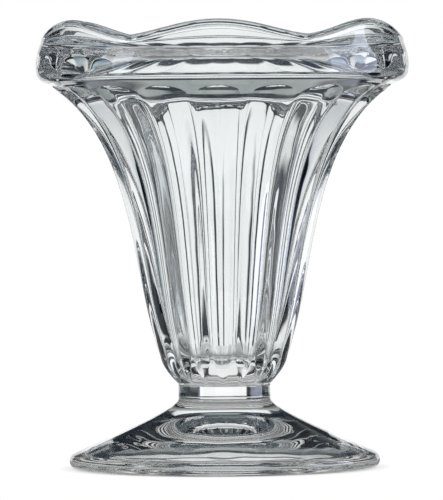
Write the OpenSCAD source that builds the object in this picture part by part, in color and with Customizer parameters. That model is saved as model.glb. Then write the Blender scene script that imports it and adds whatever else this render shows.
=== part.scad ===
// Footed parfait glass in clear pressed glass: a fluted bowl, a joining collar and a domed foot.
// The origin is on the table at the middle of the foot, +Z is up, and one scallop faces -Y.

/* [Bowl] */
// Height of the bowl, from the collar to the tips of the scallops
bowl_height = 93.6; // [86:0.2:102]
// Widest diameter of the glass, round the rim band
rim_diameter = 96; // [90:0.5:102]
// Height of the rim, from the edge of the flare to the tips of the scallops
rim_height = 15.6; // [14.5:0.1:17]
// Diameter where the rounded base turns into the wall
base_diameter = 33; // [30:0.5:36]
// Height of the rounded base above the collar
base_height = 8.4; // [7:0.2:10]
// Lean of the wall from upright, where it leaves the base
wall_lean = 21.5; // [18:0.5:24]
// How far up the wall that lean carries
wall_reach = 20.4; // [16:0.2:24]
// Slope of the flare at its edge, from level
flare_slope = 27.5; // [22:0.5:33]
// How far in from its edge that slope carries
flare_reach = 27.7; // [23:0.1:31]

/* [Glass thickness] */
// Wall just above the base
wall_base = 3.5; // [3:0.1:4.4]
// Wall at the throat and under the flare
wall_throat = 3.5; // [3:0.1:4.4]
// Glass under the lowest point of the hollow
floor_thickness = 2.8; // [2:0.1:5]

/* [Rim] */
// Height of the leaning lip, from the top of the rim band to the tips
lip_height = 6.7; // [6:0.1:8]
// Lean of the lip towards the middle
lip_lean = 19.3; // [12:0.1:24]
// Thickness of the lip
lip_thickness = 4; // [3.2:0.1:4.6]
// Depth of the lip's inner face below a tip
lip_depth = 5.1; // [4.6:0.1:5.8]
// Depth of the lip's inner face below a dip
lip_depth_dip = 2.4; // [2.35:0.05:3]
// Depth of the inner shoulder below the tips
shoulder_depth = 10.8; // [9.8:0.1:12]
// How far the inner shoulder stands in from the widest diameter
shoulder_inset = 8.8; // [8:0.1:10]
// Lean of the inner shoulder from upright
shoulder_lean = 29.5; // [24:0.5:34]

/* [Scallops and flutes] */
// Number of scallops round the rim
scallop_count = 6; // [4:1:8]
// Height from a dip to a tip
scallop_depth = 3.9; // [2.5:0.1:4.4]
// Fullness of a tip: lower is broader
scallop_fullness = 0.72; // [0.5:0.01:1]
// Flutes under each scallop
flutes_per_scallop = 3; // [2:1:4]
// How far a flute stands out at its upper end
flute_relief = 1.8; // [0.8:0.1:2.4]
// How far a flute stands out at the base
flute_relief_base = 1.1; // [0.4:0.1:1.4]
// Gap from a flute's round upper end to the edge of the flare
flute_gap = 1; // [0.6:0.1:3]
// Length of a flute's round upper end
flute_end = 2.2; // [1.4:0.1:4]
// Height above the collar at which the flutes start
flute_start = 0.5; // [0:0.1:2]

/* [Collar] */
// Diameter of the collar
collar_diameter = 23.7; // [20:0.1:27]
// Height of the collar
collar_height = 3.6; // [2:0.1:6]

/* [Foot] */
// Diameter of the foot
foot_diameter = 79.8; // [70:0.2:90]
// Height of the foot, from the table to the collar
foot_height = 18; // [15:0.2:22]
// Thickness of the foot's round edge
foot_edge = 4.1; // [3:0.1:5]
// Slope of the foot's top at its edge, from level
foot_slope = 24.3; // [18:0.1:30]
// Width of the flat ring that the foot stands on
rest_width = 2.3; // [1.5:0.1:4]
// Height of the hollow under the foot
hollow_depth = 8.4; // [6:0.1:9.4]

/* [Hidden] */
glass = [0.80, 0.88, 0.90, 0.45];

// Heights of the joints and of the tips
collar_z = foot_height;
bowl_z = collar_z + collar_height;
top_z = bowl_z + bowl_height;
flare_z = top_z - rim_height;
rim_r = rim_diameter / 2;
collar_r = collar_diameter / 2;
flute_count = scallop_count * flutes_per_scallop;

// Facets round the bowl: a whole number for each flute, so that every crease has its own edge
steps_per_flute = 4;
steps = flute_count * steps_per_flute;
front = -90;

// Handles of the curves
base_start_slope = 50;
base_start_reach = 7;
base_end_reach = 2.6;
flare_inset = 1.6;
band_inset = 1;
band_start_reach = 2.3;
band_end_reach = 4.2;
shelf_drop_share = 0.62;
shelf_reach = 2.7;
shoulder_reach = 3.5;
shoulder_end_reach = 3;
floor_reach = 9.5;
floor_flat = 7;
foot_reach = 14.5;
neck_reach = 2.8;

// Where the wall's hollow side starts and ends, along the wall's curve
hollow_start = 0.06;
hollow_end = 0.86;
// Where the wall reaches its throat thickness, along the same curve
throat_at = 0.45;
// Share of a flute's relief that is cut into the wall, the rest standing proud
flute_sink = 0.75;
// Length of a flute's round lower end
flute_fade = 11;

// Curves, as points [radius, height]
function bezier(p, t) =
    pow(1 - t, 3) * p[0] + 3 * pow(1 - t, 2) * t * p[1] + 3 * (1 - t) * t * t * p[2] + pow(t, 3) * p[3];
function bezier_way(p, t) =
    pow(1 - t, 2) * (p[1] - p[0]) + 2 * (1 - t) * t * (p[2] - p[1]) + t * t * (p[3] - p[2]);
function unit(v) = v / norm(v);
function rising(angle) = [sin(angle), cos(angle)];
function outward(angle) = [cos(angle), sin(angle)];
function mix(a, b, share) = a + (b - a) * share;
function clamp01(x) = max(0, min(1, x));

base_start = [collar_r, bowl_z];
wall_start = [base_diameter / 2, bowl_z + base_height];
flare_edge = [rim_r - flare_inset, flare_z];
lip_start = [rim_r - band_inset, top_z - lip_height];
base_curve = [
    base_start,
    base_start + base_start_reach * outward(base_start_slope),
    wall_start - base_end_reach * rising(wall_lean),
    wall_start
];
wall_curve = [
    wall_start,
    wall_start + wall_reach * rising(wall_lean),
    flare_edge - flare_reach * outward(flare_slope),
    flare_edge
];
band_curve = [
    flare_edge,
    flare_edge + band_start_reach * outward(flare_slope),
    lip_start - band_end_reach * rising(-lip_lean),
    lip_start
];

// The wall's inner side: the outer curve set in by the thickness of the glass
function wall_thickness(t) = mix(wall_throat, wall_base, pow(1 - clamp01(t / throat_at), 2));
function wall_inward(t) = let (way = unit(bezier_way(wall_curve, t))) [-way[1], way[0]];
function wall_inside(t) = bezier(wall_curve, t) + wall_thickness(t) * wall_inward(t);

shoulder = [rim_r - shoulder_inset, top_z - shoulder_depth];
shoulder_end = wall_inside(hollow_end);
shoulder_curve = [
    shoulder,
    shoulder - shoulder_reach * rising(shoulder_lean),
    shoulder_end + shoulder_end_reach * unit(bezier_way(wall_curve, hollow_end)),
    shoulder_end
];
floor_start = wall_inside(hollow_start);
floor_z = bowl_z + floor_thickness;
floor_curve = [
    floor_start,
    floor_start - floor_reach * unit(bezier_way(wall_curve, hollow_start)),
    [floor_flat, floor_z],
    [0, floor_z]
];

// Scallops: 1 on a tip and 0 in a dip
function azimuth(j) = front + 360 * j / steps;
function tip_share(j) =
    pow((1 + cos(scallop_count * (azimuth(j) - front))) / 2, scallop_fullness);
function rim_top(j) = top_z - scallop_depth * (1 - tip_share(j));
function lip_outer_r(z) = lip_start[0] - (z - lip_start[1]) * tan(lip_lean);

// Flutes: a round ridge with round ends, on a wall that is cut back between ridges
function across_flute(j) = 2 * (j % steps_per_flute) / steps_per_flute;
function flute_offset(j) = abs(across_flute(j) <= 1 ? across_flute(j) : across_flute(j) - 2);
flute_tip_z = flare_z - flute_gap;
flute_end_z = flute_tip_z - flute_end;
flute_base_z = bowl_z + flute_start;
function flute_height(z) =
    mix(flute_relief_base, flute_relief, clamp01((z - wall_start[1]) / (flute_end_z - wall_start[1])));
function flute_cut(z) =
    flute_sink * clamp01((z - flute_base_z) / flute_fade)
    * clamp01((flare_z - z) / (flare_z - flute_end_z));
function past_end(z) = max(0, (z - flute_end_z) / flute_end, (flute_base_z + flute_fade - z) / flute_fade);
function flute_bump(j, r, z) =
    let (
        half_width = r * sin(180 / flute_count),
        high = flute_height(z),
        ridge_r = (half_width * half_width + high * high) / (2 * high),
        away = half_width * norm([flute_offset(j), past_end(z)])
    )
    away >= half_width ? 0 : sqrt(ridge_r * ridge_r - away * away) - (ridge_r - high);
function fluted_r(j, r, z) = r - flute_cut(z) * flute_height(z) + flute_bump(j, r, z);

// Rings of points, from the collar up the outside, over the lip and down the inside
function spin(j, r, z) = [r * cos(azimuth(j)), r * sin(azimuth(j)), z];
function plain_ring(p) = [for (j = [0 : steps - 1]) spin(j, p[0], p[1])];
function fluted_ring(p) = [for (j = [0 : steps - 1]) spin(j, fluted_r(j, p[0], p[1]), p[1])];

wall_stops = concat([0, 0.02], [for (i = [1 : 11]) i * 0.9 / 12], [for (i = [0 : 5]) 0.9 + i / 60]);
base_rings = [for (i = [0 : 6]) fluted_ring(bezier(base_curve, i / 7))];
wall_rings = [for (t = wall_stops) fluted_ring(bezier(wall_curve, t))];
band_rings = [for (i = [0 : 4]) plain_ring(bezier(band_curve, i / 5))];

// The lip's outer face, its round top and its inner face, which follow the scallops
lip_half = lip_thickness / 2;
function lip_round(j, angle) =
    let (z = rim_top(j) - lip_half)
    spin(j, lip_outer_r(z) - lip_half * (1 - cos(angle)), z + lip_half * sin(angle));
function lip_foot_z(j) = rim_top(j) - mix(lip_depth_dip, lip_depth, tip_share(j));
function lip_inside(j, z) = [lip_outer_r(z) - lip_thickness, z];
lip_rings = concat(
    [for (share = [0, 0.5]) [for (j = [0 : steps - 1])
        let (z = mix(lip_start[1], rim_top(j) - lip_half, share)) spin(j, lip_outer_r(z), z)]],
    [for (angle = [0 : 30 : 180]) [for (j = [0 : steps - 1]) lip_round(j, angle)]]
);

// The shelf between the lip's inner face and the shoulder
function shelf_curve(j) =
    let (start = lip_inside(j, lip_foot_z(j)))
    [
        start,
        start - [0, shelf_drop_share * (start[1] - shoulder[1])],
        shoulder + shelf_reach * rising(shoulder_lean),
        shoulder
    ];
function shelf_point(j, t) = let (p = bezier(shelf_curve(j), t)) spin(j, p[0], p[1]);
shelf_rings = [for (i = [0 : 4]) [for (j = [0 : steps - 1]) shelf_point(j, i / 5)]];
shoulder_rings = [for (i = [0 : 2]) plain_ring(bezier(shoulder_curve, i / 3))];
inside_rings = [for (i = [0 : 7]) plain_ring(wall_inside(mix(hollow_end, hollow_start, i / 8)))];
floor_rings = [for (i = [0 : 6]) plain_ring(bezier(floor_curve, i / 7))];

bowl_rings = concat(
    base_rings, wall_rings, band_rings, lip_rings, shelf_rings, shoulder_rings, inside_rings, floor_rings
);

// A closed skin over a stack of rings: a flat first face and a point that closes the last ring
function skin_points(rings, last_point) = concat([for (ring = rings) each ring], [last_point]);
function skin_faces(ring_count) =
    let (last = ring_count * steps, top = last - steps)
    concat(
        [[for (j = [0 : steps - 1]) j]],
        [for (i = [0 : ring_count - 2], j = [0 : steps - 1])
            let (a = i * steps + j, b = i * steps + (j + 1) % steps)
            each [[a, a + steps, b], [b, a + steps, b + steps]]],
        [for (j = [0 : steps - 1]) [top + j, last, top + (j + 1) % steps]]
    );

// Fluted bowl with its scalloped rim and its hollow
module bowl() {
    color(glass)
        polyhedron(
            points = skin_points(bowl_rings, [0, 0, floor_z]),
            faces = skin_faces(len(bowl_rings)),
            convexity = 8
        );
}

// Round wafer of glass between the bowl and the foot
module collar() {
    color(glass)
        translate([0, 0, collar_z])
            cylinder(d = collar_diameter, h = collar_height, $fn = 96);
}

// Outline of the foot: the hollow underneath, the flat ring, the round edge and the domed top
edge_r = foot_edge / 2;
edge_centre = [foot_diameter / 2 - edge_r, edge_r];
rest_inner_r = edge_centre[0] - rest_width;
foot_top_start = edge_centre + edge_r * outward(90 - foot_slope);
foot_neck = [collar_r, foot_height];
foot_curve = [
    foot_top_start,
    foot_top_start + foot_reach * outward(180 - foot_slope),
    foot_neck - [0, neck_reach],
    foot_neck
];
hollow_points = [for (i = [0 : 8])
    [rest_inner_r * i / 8, hollow_depth * (1 - pow(i / 8, 2))]];
edge_points = [for (i = [0 : 10]) edge_centre + edge_r * outward(mix(-90, 90 - foot_slope, i / 10))];
dome_points = [for (i = [1 : 14]) bezier(foot_curve, i / 14)];

// Domed foot that the glass stands on
module foot() {
    color(glass)
        rotate_extrude($fn = 144)
            polygon(concat(hollow_points, edge_points, dome_points, [[0, foot_height]]));
}

bowl();
collar();
foot();
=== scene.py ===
"""Looks of a footed parfait glass in clear pressed glass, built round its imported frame.

Three pieces stand for the three solids: the fluted bowl, the joining collar and the domed foot.
Sizes of the glass are the construction's own, in millimetres and degrees, and turn into metres in Blender.
"""
import math

import bpy
import numpy as np
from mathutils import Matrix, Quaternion, Vector


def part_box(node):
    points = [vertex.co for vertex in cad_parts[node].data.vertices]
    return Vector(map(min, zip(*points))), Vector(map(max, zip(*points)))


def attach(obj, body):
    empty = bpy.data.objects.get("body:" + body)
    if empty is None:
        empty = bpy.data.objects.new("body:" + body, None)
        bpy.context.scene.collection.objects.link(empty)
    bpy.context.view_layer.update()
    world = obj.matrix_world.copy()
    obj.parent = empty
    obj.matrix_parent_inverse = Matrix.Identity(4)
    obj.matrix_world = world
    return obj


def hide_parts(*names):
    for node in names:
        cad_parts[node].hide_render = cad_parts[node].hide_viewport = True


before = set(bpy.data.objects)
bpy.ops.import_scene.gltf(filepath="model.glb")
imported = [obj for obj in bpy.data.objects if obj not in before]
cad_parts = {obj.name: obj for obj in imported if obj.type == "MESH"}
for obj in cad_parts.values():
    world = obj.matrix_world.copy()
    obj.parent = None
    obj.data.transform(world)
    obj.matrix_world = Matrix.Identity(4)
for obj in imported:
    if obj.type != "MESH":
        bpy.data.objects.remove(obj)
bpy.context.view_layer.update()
scene = bpy.context.scene
MM = 0.001

# Heights of the joints and the top, and radii of the collar and the foot, read from the frame
FOOT_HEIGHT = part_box("foot")[1].z / MM
BOWL_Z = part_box("collar")[1].z / MM
TOP_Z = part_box("bowl")[1].z / MM
COLLAR_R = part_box("collar")[1].x / MM
FOOT_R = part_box("foot")[1].x / MM

# Bowl outside, with the rim a hair inside the solid's box
RIM_R = 47.98
RIM_HEIGHT = 15.6
BASE_R = 16.5
BASE_HEIGHT = 8.4
WALL_LEAN = 21.5
WALL_REACH = 20.4
FLARE_SLOPE = 27.5
FLARE_REACH = 27.7
FLARE_INSET = 1.6
BASE_START_SLOPE = 50.0
BASE_START_REACH = 7.0
BASE_END_REACH = 2.6

# Rim, lip and inner shoulder
LIP_HEIGHT = 6.7
LIP_LEAN = 19.3
LIP_THICKNESS = 4.0
LIP_DEPTH = 5.1
LIP_DEPTH_DIP = 2.4
BAND_INSET = 1.0
BAND_START_REACH = 2.3
BAND_END_REACH = 4.2
SHOULDER_DEPTH = 10.8
SHOULDER_INSET = 8.8
SHOULDER_LEAN = 29.5
SHOULDER_REACH = 3.5
SHOULDER_END_REACH = 3.0
SHELF_DROP_SHARE = 0.62
SHELF_REACH = 2.7

# Thickness of the glass, and the hollow, whose start and end are shares of the wall's curve
WALL_THICKNESS = 3.5
FLOOR_THICKNESS = 2.8
FLOOR_REACH = 9.5
FLOOR_FLAT = 7.0
HOLLOW_START = 0.06
HOLLOW_END = 0.86

# Scallops and flutes
SCALLOPS = 6
SCALLOP_DEPTH = 3.9
SCALLOP_FULLNESS = 0.72
FLUTES = 18
FLUTE_RELIEF = 1.8
FLUTE_RELIEF_BASE = 1.1
FLUTE_GAP = 1.0
FLUTE_END = 2.2
FLUTE_SINK = 0.75
FLUTE_START = 0.5
FLUTE_FADE = 11.0
CREASE_ROUNDING = 0.2
FRONT = -90.0

# Foot
FOOT_EDGE = 4.1
FOOT_SLOPE = 24.3
FOOT_REACH = 14.5
NECK_REACH = 2.8
REST_WIDTH = 2.3
FOOT_HOLLOW_DEPTH = 8.4

# Fineness of the meshes: the wall's rings lie closer from one share of its curve, where the flutes end
STEPS_PER_FLUTE = 24
STEPS = FLUTES * STEPS_PER_FLUTE
FINE_RINGS = 24
WALL_RINGS = 60
CLOSE_RINGS = 40
CLOSE_FROM = 0.88
LIP_RINGS = 6
COLLAR_RINGS = 9
FOOT_HOLLOW_RINGS = 40
REST_RINGS = 4
DOME_RINGS = 60


def rising(angle):
    """Direction, as radius and height, that leans out from upright by this angle."""
    return np.array([math.sin(math.radians(angle)), math.cos(math.radians(angle))])


def outward(angle):
    """Direction, as radius and height, that climbs from level by this angle."""
    return np.array([math.cos(math.radians(angle)), math.sin(math.radians(angle))])


def bezier(handles, share):
    """Points of a curve over four handles, at one share of its run or at several."""
    done = np.asarray(share)[..., None]
    left = 1 - done
    early = left**3 * handles[0] + 3 * left**2 * done * handles[1]
    return early + 3 * left * done**2 * handles[2] + done**3 * handles[3]


def bezier_way(handles, share):
    """Directions in which the curve runs there."""
    done = np.asarray(share)[..., None]
    left = 1 - done
    way = left**2 * (handles[1] - handles[0]) + 2 * left * done * (handles[2] - handles[1])
    way = way + done**2 * (handles[3] - handles[2])
    return way / np.linalg.norm(way, axis=-1, keepdims=True)


def stops(count, start=0.0, end=1.0):
    """Even stops from start towards end, without the last one."""
    return np.linspace(start, end, count, endpoint=False)


AZIMUTH = np.radians(FRONT) + 2 * np.pi * np.arange(STEPS) / STEPS
TIP_SHARE = ((1 + np.cos(SCALLOPS * (AZIMUTH - np.radians(FRONT)))) / 2) ** SCALLOP_FULLNESS
RIM_TOP = TOP_Z - SCALLOP_DEPTH * (1 - TIP_SHARE)

# Curves of the bowl from the collar up to the lip, as radius and height
flare_z = TOP_Z - RIM_HEIGHT
wall_start = np.array([BASE_R, BOWL_Z + BASE_HEIGHT])
flare_edge = np.array([RIM_R - FLARE_INSET, flare_z])
lip_start = np.array([RIM_R - BAND_INSET, TOP_Z - LIP_HEIGHT])
base_start = np.array([COLLAR_R, BOWL_Z])
base_curve = np.array([
    base_start,
    base_start + BASE_START_REACH * outward(BASE_START_SLOPE),
    wall_start - BASE_END_REACH * rising(WALL_LEAN),
    wall_start,
])
wall_curve = np.array([
    wall_start,
    wall_start + WALL_REACH * rising(WALL_LEAN),
    flare_edge - FLARE_REACH * outward(FLARE_SLOPE),
    flare_edge,
])
band_curve = np.array([
    flare_edge,
    flare_edge + BAND_START_REACH * outward(FLARE_SLOPE),
    lip_start - BAND_END_REACH * rising(-LIP_LEAN),
    lip_start,
])


def wall_inside(share):
    """The wall's inner side: its outer curve set in by the thickness of the glass."""
    way = bezier_way(wall_curve, share)
    inward = np.stack([-way[..., 1], way[..., 0]], axis=-1)
    return bezier(wall_curve, share) + WALL_THICKNESS * inward


# Curves of the hollow from the inner shoulder down to the middle of its floor
shoulder = np.array([RIM_R - SHOULDER_INSET, TOP_Z - SHOULDER_DEPTH])
shoulder_end = wall_inside(HOLLOW_END)
shoulder_curve = np.array([
    shoulder,
    shoulder - SHOULDER_REACH * rising(SHOULDER_LEAN),
    shoulder_end + SHOULDER_END_REACH * bezier_way(wall_curve, HOLLOW_END),
    shoulder_end,
])
floor_start = wall_inside(HOLLOW_START)
floor_z = BOWL_Z + FLOOR_THICKNESS
floor_curve = np.array([
    floor_start,
    floor_start - FLOOR_REACH * bezier_way(wall_curve, HOLLOW_START),
    [FLOOR_FLAT, floor_z],
    [0.0, floor_z],
])


def flute_offsets():
    """0 on each flute's ridge and 1 in the crease between two, with the crease slightly rounded."""
    turn = FLUTES * (AZIMUTH - np.radians(FRONT)) / (2 * np.pi)
    across = np.abs((turn + 0.5) % 1.0 - 0.5) * 2
    to_crease = 1 - across
    return 1 - (np.sqrt(to_crease**2 + CREASE_ROUNDING**2) - CREASE_ROUNDING)


FLUTE_OFFSET = flute_offsets()
flute_end_z = flare_z - FLUTE_GAP - FLUTE_END
flute_base_z = BOWL_Z + FLUTE_START


def fluted_ring(radius, z):
    """Radii of one ring of the fluted wall: round ridges with round ends."""
    up = np.clip((z - wall_start[1]) / (flute_end_z - wall_start[1]), 0, 1)
    relief = FLUTE_RELIEF_BASE + (FLUTE_RELIEF - FLUTE_RELIEF_BASE) * up
    sunk = np.clip((z - flute_base_z) / FLUTE_FADE, 0, 1)
    sunk = FLUTE_SINK * sunk * np.clip((flare_z - z) / (flare_z - flute_end_z), 0, 1)
    past_end = max(0, (z - flute_end_z) / FLUTE_END, (flute_base_z + FLUTE_FADE - z) / FLUTE_FADE)
    half_width = radius * math.sin(math.pi / FLUTES)
    ridge_radius = (half_width**2 + relief**2) / (2 * relief)
    away = np.minimum(np.hypot(FLUTE_OFFSET, past_end), 1) * half_width
    bump = np.sqrt(ridge_radius**2 - away**2) - (ridge_radius - relief)
    return radius - sunk * relief + bump


def plain_rings(points):
    """Round rings of a mesh, each as its radii and heights, through points of a curve."""
    return [(np.full(STEPS, radius), np.full(STEPS, z)) for radius, z in points]


def fluted_rings(points):
    """Rings like these, with the flutes on them."""
    return [(fluted_ring(radius, z), np.full(STEPS, z)) for radius, z in points]


def lip_outer_radius(z):
    """Radius of the lip's leaning outer face at this height."""
    return lip_start[0] - (z - lip_start[1]) * math.tan(math.radians(LIP_LEAN))


def lip_rings():
    """The lip's outer face, round top and inner face, and the shelf below, which follow the scallops."""
    half = LIP_THICKNESS / 2
    round_z = RIM_TOP - half
    rings = []
    for share in stops(LIP_RINGS):
        z = lip_start[1] + (round_z - lip_start[1]) * share
        rings.append((lip_outer_radius(z), z))
    for angle in stops(FINE_RINGS, 0, math.pi):
        radius = lip_outer_radius(round_z) - half * (1 - math.cos(angle))
        rings.append((radius, round_z + half * math.sin(angle)))
    shelf_z = RIM_TOP - (LIP_DEPTH_DIP + (LIP_DEPTH - LIP_DEPTH_DIP) * TIP_SHARE)
    for share in stops(LIP_RINGS):
        z = round_z + (shelf_z - round_z) * share
        radius = lip_outer_radius(round_z) - LIP_THICKNESS
        rings.append((radius - (z - round_z) * math.tan(math.radians(LIP_LEAN)), z))
    shelf_radius = lip_outer_radius(shelf_z) - LIP_THICKNESS
    start = np.stack([shelf_radius, shelf_z], axis=-1)
    drop_z = shelf_z - SHELF_DROP_SHARE * (shelf_z - shoulder[1])
    drop = np.stack([shelf_radius, drop_z], axis=-1)
    last = np.broadcast_to(shoulder, start.shape)
    before = last + SHELF_REACH * rising(SHOULDER_LEAN)
    for share in stops(FINE_RINGS):
        points = bezier([start, drop, before, last], np.full(STEPS, share))
        rings.append((points[:, 0], points[:, 1]))
    return rings


def spun_mesh(name, rings, start_z, end_z):
    """A closed mesh over a stack of rings, with a flat fan or point at each end on the axis."""
    radii = np.array([ring[0] for ring in rings])
    heights = np.array([ring[1] for ring in rings])
    across = radii * np.cos(AZIMUTH)
    along = radii * np.sin(AZIMUTH)
    points = np.stack([across, along, heights], axis=-1).reshape(-1, 3)
    ends = np.array([[0, 0, start_z], [0, 0, end_z]])
    start_point = len(points)
    end_point = start_point + 1
    last_ring = start_point - STEPS
    faces = []
    for side in range(STEPS):
        beside = (side + 1) % STEPS
        faces.append((start_point, beside, side))
        faces.append((end_point, last_ring + side, last_ring + beside))
        for ring in range(0, last_ring, STEPS):
            faces.append((ring + side, ring + beside, ring + beside + STEPS, ring + side + STEPS))
    mesh = bpy.data.meshes.new(name)
    mesh.from_pydata((np.vstack([points, ends]) * MM).tolist(), [], faces)
    mesh.update()
    piece = bpy.data.objects.new(name, mesh)
    scene.collection.objects.link(piece)
    return piece


def make_bowl():
    """The bowl from the collar up its outside, over the lip and down to the floor of its hollow."""
    rings = fluted_rings(bezier(base_curve, stops(FINE_RINGS)))
    rings += fluted_rings(bezier(wall_curve, stops(WALL_RINGS, 0, CLOSE_FROM)))
    rings += fluted_rings(bezier(wall_curve, stops(CLOSE_RINGS, CLOSE_FROM, 1)))
    rings += plain_rings(bezier(band_curve, stops(FINE_RINGS)))
    rings += lip_rings()
    rings += plain_rings(bezier(shoulder_curve, stops(FINE_RINGS)))
    rings += plain_rings(wall_inside(stops(WALL_RINGS, HOLLOW_END, HOLLOW_START)))
    rings += plain_rings(bezier(floor_curve, stops(FINE_RINGS)))
    return spun_mesh("fluted_bowl", rings, BOWL_Z, floor_z)


def make_collar():
    """The short round wafer of glass between the foot and the bowl."""
    heights = np.linspace(FOOT_HEIGHT, BOWL_Z, COLLAR_RINGS)
    rings = plain_rings([(COLLAR_R, z) for z in heights])
    return spun_mesh("joining_collar", rings, FOOT_HEIGHT, BOWL_Z)


def make_foot():
    """The foot from the top of its hollow out over the resting ring and the round edge to the neck."""
    edge_radius = FOOT_EDGE / 2
    centre = np.array([FOOT_R - edge_radius, edge_radius])
    rest_inner = centre[0] - REST_WIDTH
    shares = np.linspace(0, 1, FOOT_HOLLOW_RINGS)[1:-1]
    hollow = [(rest_inner * share, FOOT_HOLLOW_DEPTH * (1 - share**2)) for share in shares]
    flat = [(rest_inner + REST_WIDTH * share, 0.0) for share in stops(REST_RINGS)]
    edge_end = 90 - FOOT_SLOPE
    edge = [centre + edge_radius * outward(angle) for angle in stops(FINE_RINGS, -90, edge_end)]
    top_start = centre + edge_radius * outward(edge_end)
    neck = np.array([COLLAR_R, FOOT_HEIGHT])
    dome_curve = np.array([
        top_start,
        top_start + FOOT_REACH * outward(180 - FOOT_SLOPE),
        neck - [0, NECK_REACH],
        neck,
    ])
    dome = list(bezier(dome_curve, np.linspace(0, 1, DOME_RINGS)))
    rings = plain_rings(hollow + flat + edge + dome)
    return spun_mesh("domed_foot", rings, FOOT_HOLLOW_DEPTH, FOOT_HEIGHT)


def math_node(tree, operation, *values):
    """A maths node whose values are numbers or other nodes' outputs."""
    node = tree.nodes.new("ShaderNodeMath")
    node.operation = operation
    for socket, value in zip(node.inputs, values):
        if isinstance(value, (int, float)):
            socket.default_value = value
        else:
            tree.links.new(value, socket)
    return node.outputs[0]


def ramp_node(tree, factor, marks):
    """A colour ramp from marks of (place, colour), where a number stands for a grey."""
    node = tree.nodes.new("ShaderNodeValToRGB")
    tree.links.new(factor, node.inputs["Fac"])
    elements = node.color_ramp.elements
    while len(elements) > 1:
        elements.remove(elements[-1])
    for number, (place, colour) in enumerate(marks):
        mark = elements[0] if number == 0 else elements.new(place)
        mark.position = place
        mark.color = (colour, colour, colour, 1) if isinstance(colour, (int, float)) else (*colour, 1)
    return node.outputs["Color"]


def mix_node(tree, blend, first, second):
    node = tree.nodes.new("ShaderNodeMix")
    node.data_type = "RGBA"
    node.blend_type = blend
    node.inputs["Factor"].default_value = 1.0
    tree.links.new(first, node.inputs["A"])
    tree.links.new(second, node.inputs["B"])
    return node.outputs["Result"]


def shader_group(name, sockets_in, sockets_out):
    """A node group with named sockets, those going in as (name, kind, value), those out as (name, kind)."""
    group = bpy.data.node_groups.new(name, "ShaderNodeTree")
    for socket, kind, value in sockets_in:
        made = group.interface.new_socket(socket, in_out="INPUT", socket_type=kind)
        made.default_value = value
    for socket, kind in sockets_out:
        group.interface.new_socket(socket, in_out="OUTPUT", socket_type=kind)
    return group, group.nodes.new("NodeGroupInput"), group.nodes.new("NodeGroupOutput")


def new_material(name):
    material = bpy.data.materials.new(name)
    material.use_nodes = True
    return material, material.node_tree.nodes, material.node_tree.links


# Glass: its clear colour, the ripple all over and the wear on the resting ring, with heights in metres
GLASS_COLOUR = (0.97, 0.99, 0.99, 1)
GLASS_IOR = 1.52
RIPPLE_WAVES = 90.0
RIPPLE_HEIGHT = 0.0001
RIPPLE_DETAIL = 1.0
WEAR_HEIGHT = 0.0004
WEAR_ROUGHNESS = 0.5
WEAR_SCRATCHES = 1500.0

# Joint faces are level, and lie this near a joint's height in millimetres
LEVEL_NORMAL = 0.999
JOINT_TOLERANCE = 0.01


def pressed_ripple_group():
    """Faint waves that the mould and the fire polish leave on pressed glass, as a normal."""
    sockets = [
        ("Waves per metre", "NodeSocketFloat", RIPPLE_WAVES),
        ("Height", "NodeSocketFloat", RIPPLE_HEIGHT),
    ]
    group, start, end = shader_group("pressed_ripple", sockets, [("Normal", "NodeSocketVector")])
    place = group.nodes.new("ShaderNodeTexCoord")
    waves = group.nodes.new("ShaderNodeTexNoise")
    waves.inputs["Detail"].default_value = RIPPLE_DETAIL
    group.links.new(place.outputs["Object"], waves.inputs["Vector"])
    group.links.new(start.outputs["Waves per metre"], waves.inputs["Scale"])
    bump = group.nodes.new("ShaderNodeBump")
    group.links.new(start.outputs["Height"], bump.inputs["Distance"])
    group.links.new(waves.outputs["Fac"], bump.inputs["Height"])
    group.links.new(bump.outputs["Normal"], end.inputs["Normal"])
    return group


pressed_ripple = pressed_ripple_group()


def clear_glass(name):
    """Clear pressed glass for one piece."""
    material, nodes, links = new_material(name)
    shader = nodes["Principled BSDF"]
    shader.inputs["Base Color"].default_value = GLASS_COLOUR
    shader.inputs["Transmission Weight"].default_value = 1.0
    shader.inputs["Roughness"].default_value = 0.0
    shader.inputs["IOR"].default_value = GLASS_IOR
    ripple = nodes.new("ShaderNodeGroup")
    ripple.node_tree = pressed_ripple
    ripple.inputs["Waves per metre"].default_value = RIPPLE_WAVES
    ripple.inputs["Height"].default_value = RIPPLE_HEIGHT
    links.new(ripple.outputs["Normal"], shader.inputs["Normal"])
    return material


def wear_resting_ring(material):
    """Fine scratches that a table leaves on the ring that the foot stands on, as roughness."""
    tree = material.node_tree
    place = tree.nodes.new("ShaderNodeTexCoord")
    axes = tree.nodes.new("ShaderNodeSeparateXYZ")
    tree.links.new(place.outputs["Object"], axes.inputs[0])
    low = tree.nodes.new("ShaderNodeMapRange")
    tree.links.new(axes.outputs["Z"], low.inputs["Value"])
    low.inputs["From Min"].default_value = 0.0
    low.inputs["From Max"].default_value = WEAR_HEIGHT
    low.inputs["To Min"].default_value = WEAR_ROUGHNESS
    low.inputs["To Max"].default_value = 0.0
    scratches = tree.nodes.new("ShaderNodeTexNoise")
    scratches.inputs["Scale"].default_value = WEAR_SCRATCHES
    tree.links.new(place.outputs["Object"], scratches.inputs["Vector"])
    worn = math_node(tree, "MULTIPLY", low.outputs["Result"], scratches.outputs["Fac"])
    tree.links.new(worn, tree.nodes["Principled BSDF"].inputs["Roughness"])


def fused_joint():
    """The joint faces inside the glass, where two pieces are fused and nothing shows."""
    material = new_material("fused_joint")[0]
    shader = material.node_tree.nodes["Principled BSDF"]
    shader.inputs["Alpha"].default_value = 0.0
    return material


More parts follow.
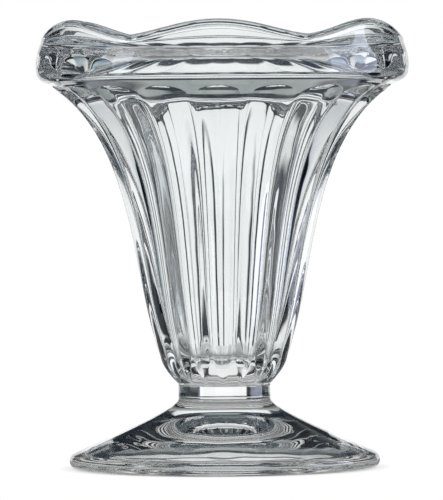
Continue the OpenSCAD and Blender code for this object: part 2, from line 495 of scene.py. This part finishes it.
def dress(piece, node, glass, joint, joint_heights):
    """Glass all over, clear joints where the piece is fused to its neighbour."""
    mesh = piece.data
    mesh.materials.append(glass)
    mesh.materials.append(joint)
    for face in mesh.polygons:
        face.use_smooth = True
        level = abs(face.normal.z) > LEVEL_NORMAL
        if level and any(abs(face.center.z / MM - z) < JOINT_TOLERANCE for z in joint_heights):
            face.material_index = 1
            face.use_smooth = False
    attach(piece, "root")
    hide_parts(node)


joint_material = fused_joint()
dress(make_bowl(), "bowl", clear_glass("bowl_glass"), joint_material, [BOWL_Z])
dress(make_collar(), "collar", clear_glass("collar_glass"), joint_material, [FOOT_HEIGHT, BOWL_Z])
foot_glass = clear_glass("foot_glass")
wear_resting_ring(foot_glass)
dress(make_foot(), "foot", foot_glass, joint_material, [FOOT_HEIGHT])

# Camera: the photograph's long, nearly level view, in metres and degrees, its lens in millimetres
CAMERA_DISTANCE = 1.67
CAMERA_HEIGHT = 0.102
CAMERA_LENS = 468.0
CAMERA_SENSOR = 36.0
CAMERA_FAR_END = 50.0
CAMERA_TURN = -1.4
CAMERA_ROLL = 0.4
CAMERA_AIM = Vector((-0.0005, 0, 0.056))


def make_camera():
    data = bpy.data.cameras.new("photo_camera")
    data.sensor_width = CAMERA_SENSOR
    data.lens = CAMERA_LENS
    data.clip_end = CAMERA_FAR_END
    camera = bpy.data.objects.new("photo_camera", data)
    scene.collection.objects.link(camera)
    turn = math.radians(CAMERA_TURN)
    camera.location = (
        CAMERA_AIM.x - CAMERA_DISTANCE * math.sin(turn),
        -CAMERA_DISTANCE * math.cos(turn),
        CAMERA_HEIGHT,
    )
    camera.rotation_mode = "QUATERNION"
    looking = (CAMERA_AIM - camera.location).to_track_quat("-Z", "Y")
    camera.rotation_quaternion = looking @ Quaternion((0, 0, 1), math.radians(-CAMERA_ROLL))
    scene.camera = camera


# Studio that only the glass and the floor see, each mark as (degrees, colour). White upright panels stand on
# the four sides, with narrow dark flags beside them and dark corners between them, over a pale ground. A
# narrow pale slot crosses the flags just below the horizon. Above each panel are a dark gap, a narrow grey
# panel and a dark grey ceiling. Under the front and back panels is one more dark gap. The left and right
# sides are tinted, and deep below, the ground shows over flags and corners too.
DARK = (0.004, 0.01, 0.016)
GAP = (0.03, 0.04, 0.05)
DEEPEST = (0.25, 0.32, 0.36)
DEEP = (0.40, 0.48, 0.53)
UPPER_PANEL = (0.34, 0.37, 0.37)
CEILING = (0.08, 0.10, 0.11)
LEFT_SIDE = (0.40, 0.51, 0.57)
LEFT_MIDDLE = (0.72, 0.76, 0.78)
RIGHT_SIDE = (0.44, 0.50, 0.66)
RIGHT_MIDDLE = (0.73, 0.75, 0.80)

# Marks by the turn from the nearest panel's middle, which is 45 in the corners
TURN_SPAN = (0, 45)
FLAG_MARKS = [(0, 1.0), (21, 1.0), (22.5, DARK), (34, DARK), (35.5, 1.0), (45, 1.0)]
FLAG_SLOT_WIDTH_MARKS = [(0, 0.0), (24, 0.0), (25, 1.0), (36, 1.0), (37, 0.0), (45, 0.0)]
CORNER_MARKS = [(0, 1.0), (28, 1.0), (31, DARK), (45, DARK)]
UPPER_WIDTH_MARKS = [(0, 1.0), (9, 1.0), (12, 0.0), (45, 0.0)]

# Marks by the height over the horizon
HEIGHT_SPAN = (-90, 90)
FLAG_SLOT_MARKS = [(-90, 0.0), (-5.8, 0.0), (-5.2, 1.0), (-3.7, 1.0), (-3.3, 0.0), (90, 0.0)]
GROUND_MARKS = [(-90, 0.6), (-11.5, 0.85), (-10, 0.0), (90, 0.0)]
DEEP_GROUND_MARKS = [(-90, 0.6), (-42, 0.6), (-32, 0.0), (90, 0.0)]
HEIGHT_MARKS = [(-90, DEEPEST), (-40, DEEP), (-20, 1.0), (9, 1.0), (10.5, GAP), (90, GAP)]
LOWER_GAP_MARKS = [(-90, 1.0), (-29, 1.0), (-27.5, GAP), (-18.5, GAP), (-16, 1.0), (90, 1.0)]
UPPER_MARKS = [(-90, 0.0), (18.5, 0.0), (21, UPPER_PANEL), (38, UPPER_PANEL), (44, 0.0), (90, 0.0)]
CEILING_MARKS = [(-90, 0.0), (44, 0.0), (54, CEILING), (90, CEILING)]

# Marks by the turn from the back, to the right
AROUND_SPAN = (-180, 180)
LOWER_GAP_WIDTH_MARKS = [
    (-180, 0.0),
    (-160, 0.0),
    (-155, 1.0),
    (-25, 1.0),
    (-20, 0.0),
    (20, 0.0),
    (25, 1.0),
    (155, 1.0),
    (160, 0.0),
    (180, 0.0),
]
SIDE_MARKS = [
    (-130, 1.0),
    (-120, LEFT_SIDE),
    (-104, LEFT_SIDE),
    (-99, LEFT_MIDDLE),
    (-81, LEFT_MIDDLE),
    (-76, LEFT_SIDE),
    (-60, LEFT_SIDE),
    (-50, 1.0),
    (50, 1.0),
    (60, RIGHT_SIDE),
    (76, RIGHT_SIDE),
    (81, RIGHT_MIDDLE),
    (99, RIGHT_MIDDLE),
    (104, RIGHT_SIDE),
    (120, RIGHT_SIDE),
    (130, 1.0),
]


def studio_colour(tree):
    """The studio's colour by direction, as the output of nodes in the world's tree."""
    place = tree.nodes.new("ShaderNodeTexCoord")
    axes = tree.nodes.new("ShaderNodeSeparateXYZ")
    tree.links.new(place.outputs["Generated"], axes.inputs[0])
    # Where a direction lies in each span, as a share from 0 to 1
    bearing = math_node(tree, "ARCTAN2", axes.outputs["X"], axes.outputs["Y"])
    around = math_node(tree, "MULTIPLY_ADD", bearing, 0.5 / math.pi, 0.5)
    corner_turn = math.radians(TURN_SPAN[1])
    folded = math_node(tree, "PINGPONG", bearing, corner_turn)
    turn = math_node(tree, "DIVIDE", folded, corner_turn)
    up = math_node(tree, "ARCSINE", axes.outputs["Z"])
    height = math_node(tree, "MULTIPLY_ADD", up, 1 / math.pi, 0.5)

    def by_degrees(factor, marks, span):
        lowest, highest = span
        return ramp_node(tree, factor, [((a - lowest) / (highest - lowest), v) for a, v in marks])

    def darker(first, second):
        return mix_node(tree, "MULTIPLY", first, second)

    def paler(first, second):
        return mix_node(tree, "LIGHTEN", first, second)

    flags = by_degrees(turn, FLAG_MARKS, TURN_SPAN)
    flag_slot = by_degrees(height, FLAG_SLOT_MARKS, HEIGHT_SPAN)
    flag_slot_width = by_degrees(turn, FLAG_SLOT_WIDTH_MARKS, TURN_SPAN)
    corners = by_degrees(turn, CORNER_MARKS, TURN_SPAN)
    ground = by_degrees(height, GROUND_MARKS, HEIGHT_SPAN)
    deep_ground = by_degrees(height, DEEP_GROUND_MARKS, HEIGHT_SPAN)
    heights = by_degrees(height, HEIGHT_MARKS, HEIGHT_SPAN)
    lower_gap = by_degrees(height, LOWER_GAP_MARKS, HEIGHT_SPAN)
    lower_gap_width = by_degrees(around, LOWER_GAP_WIDTH_MARKS, AROUND_SPAN)
    upper = by_degrees(height, UPPER_MARKS, HEIGHT_SPAN)
    upper_width = by_degrees(turn, UPPER_WIDTH_MARKS, TURN_SPAN)
    ceiling = by_degrees(height, CEILING_MARKS, HEIGHT_SPAN)
    sides = by_degrees(around, SIDE_MARKS, AROUND_SPAN)
    studio = darker(flags, paler(corners, ground))
    studio = paler(studio, darker(flag_slot, flag_slot_width))
    studio = paler(studio, deep_ground)
    studio = darker(studio, heights)
    studio = darker(studio, paler(lower_gap, lower_gap_width))
    studio = paler(studio, darker(upper, upper_width))
    studio = paler(studio, ceiling)
    return darker(studio, sides)


def make_world():
    """White where the camera looks straight at it, and the studio everywhere else."""
    world = bpy.data.worlds.new("studio")
    scene.world = world
    world.use_nodes = True
    tree = world.node_tree
    tree.nodes.clear()
    path = tree.nodes.new("ShaderNodeLightPath")
    shown = tree.nodes.new("ShaderNodeMix")
    shown.data_type = "RGBA"
    tree.links.new(path.outputs["Is Camera Ray"], shown.inputs["Factor"])
    tree.links.new(studio_colour(tree), shown.inputs["A"])
    shown.inputs["B"].default_value = (1, 1, 1, 1)
    background = tree.nodes.new("ShaderNodeBackground")
    tree.links.new(shown.outputs["Result"], background.inputs["Color"])
    out = tree.nodes.new("ShaderNodeOutputWorld")
    tree.links.new(background.outputs[0], out.inputs["Surface"])


# Floor: its radius in metres, and its painted shade by distance from the middle in millimetres, as the camera
# sees it straight on and as the glass shows it
FLOOR_RADIUS = 0.12
FLOOR_SIDES = 96
FLOOR_COLOUR = (0.8, 0.8, 0.8, 1)
FLOOR_PAINTED_SHADE_MARKS = [(0, 0.4), (37, 0.4), (39.5, 0.85), (43, 1.0), (120, 1.0)]
# As the glass shows it: painted shade in rings round the foot, with painted light in the middle and in a
# narrow ring at the foot's edge
FLOOR_IN_GLASS_PAINTED_LIGHT_AND_SHADE_MARKS = [
    (0, 0.9),
    (17, 0.9),
    (27, 0.2),
    (36.5, 0.1),
    (37.5, 0.75),
    (39.2, 0.75),
    (40.5, 0.12),
    (46, 0.25),
    (60, 0.3),
    (80, 0.5),
    (120, 0.9),
]


def floor_material():
    """Pale to other light. The camera and the glass see a painted shade that goes by distance from the
    middle, and the glass also sees painted light in the middle and in a narrow ring at the foot's edge.
    """
    material, nodes, links = new_material("pale_floor")
    nodes.clear()
    tree = material.node_tree
    plain = nodes.new("ShaderNodeBsdfDiffuse")
    plain.inputs["Color"].default_value = FLOOR_COLOUR
    place = nodes.new("ShaderNodeTexCoord")
    distance = nodes.new("ShaderNodeVectorMath")
    distance.operation = "LENGTH"
    links.new(place.outputs["Object"], distance.inputs[0])
    out_share = math_node(tree, "DIVIDE", distance.outputs["Value"], FLOOR_RADIUS)
    # Painted shade by distance from the middle: a contact shade under the foot, and for the glass, rings of
    # painted shade and light
    straight = ramp_node(tree, out_share, [(r * MM / FLOOR_RADIUS, v) for r, v in FLOOR_PAINTED_SHADE_MARKS])
    through = ramp_node(tree, out_share, [(r * MM / FLOOR_RADIUS, v) for r, v in FLOOR_IN_GLASS_PAINTED_LIGHT_AND_SHADE_MARKS])
    path = nodes.new("ShaderNodeLightPath")
    glass = math_node(tree, "MAXIMUM", path.outputs["Is Glossy Ray"], path.outputs["Is Transmission Ray"])
    shade = nodes.new("ShaderNodeMix")
    shade.data_type = "RGBA"
    links.new(glass, shade.inputs["Factor"])
    links.new(straight, shade.inputs["A"])
    links.new(through, shade.inputs["B"])
    white = nodes.new("ShaderNodeEmission")
    links.new(shade.outputs["Result"], white.inputs["Color"])
    shown = nodes.new("ShaderNodeMixShader")
    links.new(math_node(tree, "MAXIMUM", glass, path.outputs["Is Camera Ray"]), shown.inputs["Fac"])
    links.new(plain.outputs[0], shown.inputs[1])
    links.new(white.outputs[0], shown.inputs[2])
    out = nodes.new("ShaderNodeOutputMaterial")
    links.new(shown.outputs[0], out.inputs["Surface"])
    return material


def make_floor():
    """A plain pale floor that shows as white, with a painted shade under the foot."""
    mesh = bpy.data.meshes.new("floor")
    angles = stops(FLOOR_SIDES, 0, 2 * math.pi)
    ring = [(FLOOR_RADIUS * math.cos(a), FLOOR_RADIUS * math.sin(a), 0) for a in angles]
    mesh.from_pydata(ring, [], [tuple(range(len(ring)))])
    mesh.materials.append(floor_material())
    piece = bpy.data.objects.new("floor", mesh)
    scene.collection.objects.link(piece)


# Softboxes, in metres: a broad one to the right and a narrow strip to the left, seen only in reflections
SOFTBOX_DISTANCE = 0.9
SOFTBOX_HEIGHT = 0.12
SOFTBOX_AIM = Vector((0, 0, 0.06))
RIGHT_TURN = 90
RIGHT_SIZE = (0.65, 0.8)
RIGHT_COLOUR = (0.75, 0.8, 1.0)
RIGHT_RADIANCE = 4.0
LEFT_TURN = -62
LEFT_SIZE = (0.2, 0.8)
LEFT_COLOUR = (0.8, 0.88, 1.0)
LEFT_RADIANCE = 3.0


def make_softbox(name, degrees, size, colour, radiance):
    """A soft rectangular lamp, turned this many degrees to the right of the front."""
    width, height = size
    data = bpy.data.lights.new(name, "AREA")
    data.shape = "RECTANGLE"
    data.size = width
    data.size_y = height
    data.color = colour
    data.energy = radiance * math.pi * width * height
    lamp = bpy.data.objects.new(name, data)
    scene.collection.objects.link(lamp)
    turn = math.radians(degrees)
    lamp.location = (SOFTBOX_DISTANCE * math.sin(turn), -SOFTBOX_DISTANCE * math.cos(turn), SOFTBOX_HEIGHT)
    lamp.rotation_euler = (SOFTBOX_AIM - lamp.location).to_track_quat("-Z", "Y").to_euler()
    lamp.visible_camera = False
    lamp.visible_transmission = False


# Light passes many faces of glass before it leaves
GLASS_BOUNCES = 32
OTHER_BOUNCES = 24

make_softbox("right_softbox", RIGHT_TURN, RIGHT_SIZE, RIGHT_COLOUR, RIGHT_RADIANCE)
make_softbox("left_strip", LEFT_TURN, LEFT_SIZE, LEFT_COLOUR, LEFT_RADIANCE)
make_camera()
make_world()
make_floor()
scene.view_settings.view_transform = "Standard"
scene.cycles.max_bounces = GLASS_BOUNCES
scene.cycles.transmission_bounces = GLASS_BOUNCES
scene.cycles.glossy_bounces = OTHER_BOUNCES
scene.cycles.transparent_max_bounces = OTHER_BOUNCES
